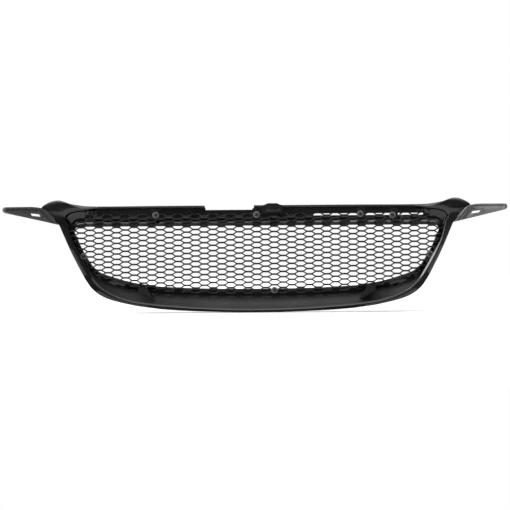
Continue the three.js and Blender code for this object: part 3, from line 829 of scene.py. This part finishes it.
def top_clip(material):
    x, low, sheet, corner, soft = CLIP["x"], CLIP["low"], CLIP["sheet"], CLIP_CORNER, CLIP_SOFT
    back = RIM_DEPTH["top"] + CLIP_GAP
    plate, base, top = CLIP["plate"] / 2, CLIP["base"] / 2, CLIP["top"] / 2
    crown = TOP_Z + CLIP["rise"]
    outline = [
        (x - plate, low + corner), (x - plate + corner, low),
        (x + plate - corner, low), (x + plate, low + corner),
        (x + plate, TOP_Z - 1), (x + plate - 1, TOP_Z), (x + base, TOP_Z + CLIP_SHOULDER),
        (x + top + soft, crown - soft), (x + top - soft, crown),
        (x - top + soft, crown), (x - top - soft, crown - soft),
        (x - base, TOP_Z + CLIP_SHOULDER), (x - plate + 1, TOP_Z), (x - plate, TOP_Z - 1),
    ]
    piece = new_object("top_edge_clip", prism(outline, back, back + sheet))
    over = rectangle(x - top, TOP_Z + CLIP_GAP, x + top, crown - 0.02)
    combine(piece, prism(over, back - CLIP["hook"], back + CLIP_JOIN), "UNION")
    half, pad_low, pad_high = CLIP_PAD["half"], TOP_Z - CLIP_PAD["low"], TOP_Z - CLIP_PAD["high"]
    pad = rectangle(x - half, pad_low, x + half, pad_high)
    combine(piece, prism(pad, back + CLIP_JOIN, back + sheet + CLIP_PAD["proud"]), "UNION")
    grooves = []
    for middle in (x - CLIP_GROOVE["at"], x + CLIP_GROOVE["at"]):
        left, right = middle - CLIP_GROOVE["half"], middle + CLIP_GROOVE["half"]
        groove = rectangle(left, CLIP_GROOVE["low"], right, CLIP_GROOVE["high"])
        grooves.append(prism(groove, back + sheet - CLIP_GROOVE["depth"], back + sheet + 3))
    combine(piece, together(*grooves), "DIFFERENCE")
    round_edges(piece, CLIP_ROUND)
    finish_piece(piece, material, "satin_black", "top_clip")


# ---- wings --------------------------------------------------------------------------------------------

def wing_place(side):
    """Maps (x, height above the blade, z) onto one side's swept blade, or onto its flatter foot."""
    root = at(WING_ROOT_X, RIM_DEPTH["side"] + WING_GAP, 0)

    def place(x, up, z):
        angle = WING_ANGLE if x > WING_ROOT_X else FOOT_ANGLE
        out = x - WING_ROOT_X
        across = WING_ROOT_X + out - up * math.sin(angle)
        return Vector((side * across, root.y + out * math.tan(angle) + up * math.cos(angle), z))

    return place


def offset_line(points, distance):
    """Points beside an open line, on its right hand."""
    moved = []
    for i, p in enumerate(points):
        before, after = points[max(i - 1, 0)], points[min(i + 1, len(points) - 1)]
        along = (Vector(after) - Vector(before)).normalized()
        moved.append((p[0] + along.y * distance, p[1] - along.x * distance))
    return moved


def band(line, width):
    """A strip of that width along the right hand of an open line, as a closed outline."""
    return [*line, *reversed(offset_line(line, width))]


def wing(side, hand, material):
    place = wing_place(side)
    tip = WING_TIP_X
    top_edge = [
        (348, 78.4), (352, 80.6), (356, 82), (364, 83.4), (371, WING_TOP_Z), (tip - 4, WING_TOP_Z),
        (tip - 1.6, WING_TOP_Z - 0.9), (tip, 80), (tip - 0.6, 76.8), (tip - 3.6, 74.5), (tip - 7, 73.6),
    ]
    outline = [(328, 54), (WING_ROOT_X, 64.5), *top_edge, (352, 60), (WING_ROOT_X, 56)]
    piece = new_object("mounting_wing_" + hand, prism(outline, 0, WING_SHEET, place))
    rim = band(top_edge[2:], RIM_WIDTH)
    combine(piece, prism(rim, RIM_SUNK, WING_SHEET + RIM_PROUD, place), "UNION")
    ridge = [(WING_ROOT_X + 0.1, 57), (354.5, 79.8), (349.4, 78.4), (WING_ROOT_X + 0.1, 63.8)]
    combine(piece, prism(ridge, RIDGE_SUNK, WING_SHEET + RIDGE_PROUD, place), "UNION")
    groove = [(336.5, 52), (340.5, 54), (358.5, 77.6), (355, 77.6)]
    combine(piece, prism(groove, WING_SHEET - GROOVE_DEPTH, WING_SHEET + WING_CUT, place), "DIFFERENCE")
    half, height = SLOT["length"] / 2 * math.cos(WING_ANGLE), SLOT["height"] / 2
    x, z, slant, fall = SLOT["x"], SLOT["z"], SLOT["slant"], SLOT["fall"]
    hole = [
        (x - half, z - height - fall), (x + half - slant, z - height + fall),
        (x + half, z + height + fall), (x - half + slant, z + height - fall),
    ]
    combine(piece, prism(hole, -WING_SHEET, WING_SHEET + WING_CUT, place), "DIFFERENCE")
    round_edges(piece, WING_ROUND, angle=30)
    finish_piece(piece, material, "grey_plastic", "wing_" + hand)


# ---- locating tabs, which keep their CAD shape --------------------------------------------------------

def dress_cad_node(node, material, edge):
    """Gives a node that keeps its CAD mesh a material, and rounds its edges by a modifier only."""
    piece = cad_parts[node]
    piece.data.materials.clear()
    piece.data.materials.append(material)
    modifier = piece.modifiers.new("round", "BEVEL")
    modifier.width = edge * MM
    modifier.segments = 2
    modifier.limit_method = "ANGLE"


# ---- camera, floor and light --------------------------------------------------------------------------

def add_camera():
    azimuth, elevation, roll = (math.radians(a) for a in (182.2, 1, 0.45))
    distance, seen_width = 7, 0.843
    aim = Vector((0.0015, 0, 0.0018))
    flat = math.cos(elevation)
    back = Vector((math.sin(azimuth) * flat, -math.cos(azimuth) * flat, math.sin(elevation)))
    data = bpy.data.cameras.new("camera")
    data.sensor_width = 36
    data.lens = data.sensor_width * distance / seen_width
    data.clip_end = 100
    camera = bpy.data.objects.new("camera", data)
    camera.location = aim + back * distance
    level_view = (-back).to_track_quat("-Z", "Y").to_matrix()
    camera.rotation_euler = (level_view @ Matrix.Rotation(-roll, 3, "Z")).to_euler()
    bpy.context.scene.collection.objects.link(camera)
    bpy.context.scene.camera = camera


def add_floor():
    shader = Shader("pale_floor", 0.6, specular=0.2)
    shader.colour(shader.blend(shader.ramp(shader.noise(3, 4), 0, 1), (0.86, 0.86, 0.86), (0.9, 0.9, 0.9)))
    radius, height, sides = FLOOR["radius"], BOTTOM_Z - FLOOR["gap"], FLOOR["sides"]
    rim = [Vector((radius * math.cos(angle), radius * math.sin(angle), height)) for angle in turns(sides)]
    floor = new_object("studio_floor", (rim, [tuple(range(sides))]))
    floor.data.materials.append(shader.material)


def add_light(name, place, size, power):
    """A soft rectangular lamp that looks at the object."""
    data = bpy.data.lights.new(name, "AREA")
    data.shape = "RECTANGLE"
    data.size, data.size_y = size
    data.energy = power
    lamp = bpy.data.objects.new(name, data)
    lamp.location = place
    lamp.rotation_euler = (-Vector(place)).to_track_quat("-Z", "Y").to_euler()
    lamp.visible_camera = False
    bpy.context.scene.collection.objects.link(lamp)


def add_sky_light(strength, width):
    """Soft even light from overhead, which whitens the floor as far as it is seen."""
    data = bpy.data.lights.new("sky", "SUN")
    data.energy = strength
    data.angle = math.radians(width)
    bpy.context.scene.collection.objects.link(bpy.data.objects.new("sky", data))


def add_world(seen, around):
    """A plain pale surround for the camera, and a dimmer one for what the surfaces reflect."""
    world = bpy.data.worlds.new("studio")
    world.use_nodes = True
    bpy.context.scene.world = world
    nodes, links = world.node_tree.nodes, world.node_tree.links
    paths = nodes.new("ShaderNodeLightPath")
    shades = []
    for strength in (around, seen):
        shade = nodes.new("ShaderNodeBackground")
        shade.inputs["Color"].default_value = (1, 1, 1, 1)
        shade.inputs["Strength"].default_value = strength
        shades.append(shade)
    choice = nodes.new("ShaderNodeMixShader")
    links.new(paths.outputs["Is Camera Ray"], choice.inputs["Fac"])
    links.new(shades[0].outputs[0], choice.inputs[1])
    links.new(shades[1].outputs[0], choice.inputs[2])
    links.new(choice.outputs[0], nodes["World Output"].inputs["Surface"])


def add_studio():
    add_camera()
    add_floor()
    add_world(1.0, 0.07)
    add_sky_light(3.5, 110)
    add_light("front_left", (2.6, -3.8, 0.8), (4, 2.5), 70)
    add_light("front_right", (-2.6, -3.8, 0.8), (4, 2.5), 70)
    add_light("rear_high", (0, 3.6, 3), (3, 1), 60)
    add_light("rear_left", (4, 1.9, 1.95), (2, 2.8), 250)
    bpy.context.scene.view_settings.view_transform = "Standard"


# ---- everything ---------------------------------------------------------------------------------------

add_studio()
gloss, satin, grey = gloss_black(), satin_black(), grey_plastic()
coated = mesh_black()
zinc, blackened = plated_metal("dark_zinc", 0.07, 0.15), plated_metal("blackened", 0.012, 0.04)

bezel(gloss)
top_rail(gloss)
top_clip(satin)
mesh_insert(coated)
wing(1, "left", grey)
wing(-1, "right", grey)
for tab in ("locating_tab_left", "locating_tab_right"):
    dress_cad_node(tab, satin, 0.5)
for spot, (spot_x, spot_z) in FASTENERS.items():
    washer("washer_" + spot, spot_x, spot_z, zinc)
    screw("screw_" + spot, spot_x, spot_z, blackened)
